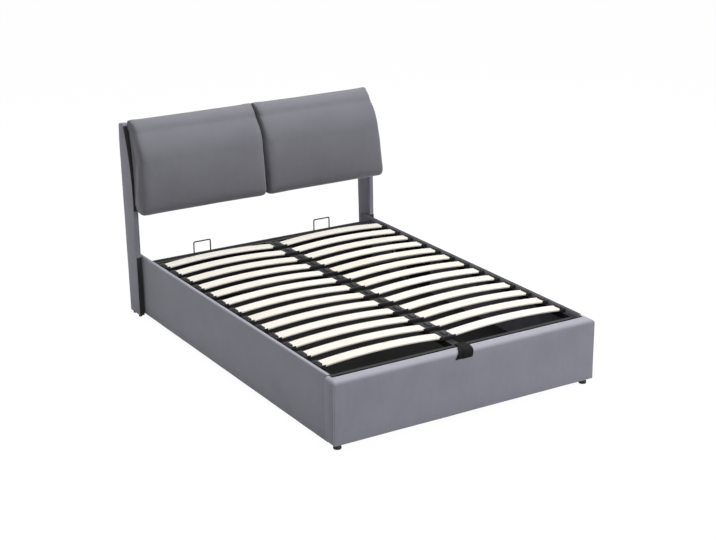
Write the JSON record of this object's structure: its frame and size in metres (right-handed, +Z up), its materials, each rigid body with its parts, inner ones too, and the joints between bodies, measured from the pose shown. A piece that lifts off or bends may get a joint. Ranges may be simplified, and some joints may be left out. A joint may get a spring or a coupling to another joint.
{
  "type": "upholstered storage bed",
  "caption": "Upholstered double bed with a two-cushion headboard and a sprung-slat frame that lifts on gas struts over a storage space.",
  "frame": {"origin": "on the floor, in the middle of the bed's outline", "axes": "+X to the right seen from the foot, +Y from the foot to the headboard, +Z up"},
  "size_m": [1.506, 2.1942, 1.0843],
  "materials": {
    "frame_fabric": "short-pile velvet",
    "cushion_fabric": "short-pile velvet",
    "board": "particle board and pine",
    "panel_board": "fibreboard",
    "lining": "thin black lining cloth",
    "black_plastic": "satin",
    "holder_plastic": "satin",
    "rubber_pad": "matte",
    "frame_steel": "powder coat",
    "bright_steel": "zinc plated",
    "wire_steel": "black coat",
    "slat_wood": "bleached birch veneer",
    "webbing": "woven strap"
  },
  "bodies": {
    "root": {"footboard_cover": "frame_fabric", "side_rail_cover_left": "frame_fabric", "side_rail_cover_right": "frame_fabric", "headboard_post_cover_left": "frame_fabric", "headboard_post_cover_right": "frame_fabric", "cushion_left": "cushion_fabric", "cushion_right": "cushion_fabric", "footboard_board": "board", "side_rail_board_left": "board", "side_rail_board_right": "board", "head_rail_board": "board", "headboard_post_board_left": "board", "headboard_post_board_right": "board", "headboard_top_batten": "board", "base_side_ledges": "board", "base_end_ledges": "board", "base_centre_beam": "board", "headboard_panel": "panel_board", "headboard_lower_rail": "panel_board", "cushion_board_left": "panel_board", "cushion_board_right": "panel_board", "storage_floor": "panel_board", "post_lining_strips": "lining", "head_rail_cover": "lining", "footboard_glides": "black_plastic", "post_glides": "black_plastic", "centre_legs": "black_plastic", "bolt_spacers": "black_plastic", "frame_rest_pads": "rubber_pad", "hinge_plate_left": "frame_steel", "hinge_plate_right": "frame_steel", "base_pivot_pins": "bright_steel", "frame_screws": "bright_steel", "headboard_bolts": "bright_steel", "corner_brackets": "bright_steel", "frame_rest_brackets": "bright_steel", "mattress_stop_left": "wire_steel", "mattress_stop_right": "wire_steel"},
    "lift_arms": {"lift_arm_left": "frame_steel", "lift_arm_right": "frame_steel"},
    "guide_arms": {"guide_arm_left": "frame_steel", "guide_arm_right": "frame_steel"},
    "strut_cylinders": {"strut_cylinder_left": "frame_steel", "strut_cylinder_right": "frame_steel"},
    "strut_rods": {"strut_rod_left": "bright_steel", "strut_rod_right": "bright_steel"},
    "platform": {"side_tube_left": "frame_steel", "side_tube_right": "frame_steel", "foot_tube": "frame_steel", "head_tube": "frame_steel", "centre_tube": "frame_steel", "cross_tubes": "frame_steel", "side_tube_plugs": "black_plastic", "platform_brackets": "frame_steel", "platform_pivot_pins": "bright_steel", "slats_left": "slat_wood", "slats_right": "slat_wood", "slat_holders": "holder_plastic", "pull_strap": "webbing"}
  },
  "joints": [
    {"name": "lift_arm_hinge", "type": "hinge", "parent": "root", "child": "lift_arms", "pos_m": [0, 0.4791, 0.252], "axis": [1, 0, 0], "range_deg": [0, 48]},
    {"name": "platform_hinge", "type": "hinge", "parent": "lift_arms", "child": "platform", "pos_m": [0, 0.7241, 0.278], "axis": [1, 0, 0], "range_deg": [-80.1, 0]},
    {"name": "guide_arm_hinge", "type": "hinge", "parent": "root", "child": "guide_arms", "pos_m": [0, 0.3071, 0.237], "axis": [1, 0, 0], "range_deg": [0, 41.5]},
    {"name": "strut_cylinder_hinge", "type": "hinge", "parent": "root", "child": "strut_cylinders", "pos_m": [0, 0.4151, 0.084], "axis": [1, 0, 0], "range_deg": [0, 17.4]},
    {"name": "strut_rod_slide", "type": "slide", "parent": "strut_cylinders", "child": "strut_rods", "axis": [0, 0.783, 0.622], "range_m": [0, 0.0605]}
  ],
  "couplings": [
    {"joint": "platform_hinge", "follows": "lift_arm_hinge", "ratio": -1.6667},
    {"joint": "guide_arm_hinge", "follows": "lift_arm_hinge", "ratio": 0.863},
    {"joint": "strut_cylinder_hinge", "follows": "lift_arm_hinge", "ratio": 0.361},
    {"joint": "strut_rod_slide", "follows": "lift_arm_hinge", "m_per_rad": 0.0719}
  ]
}
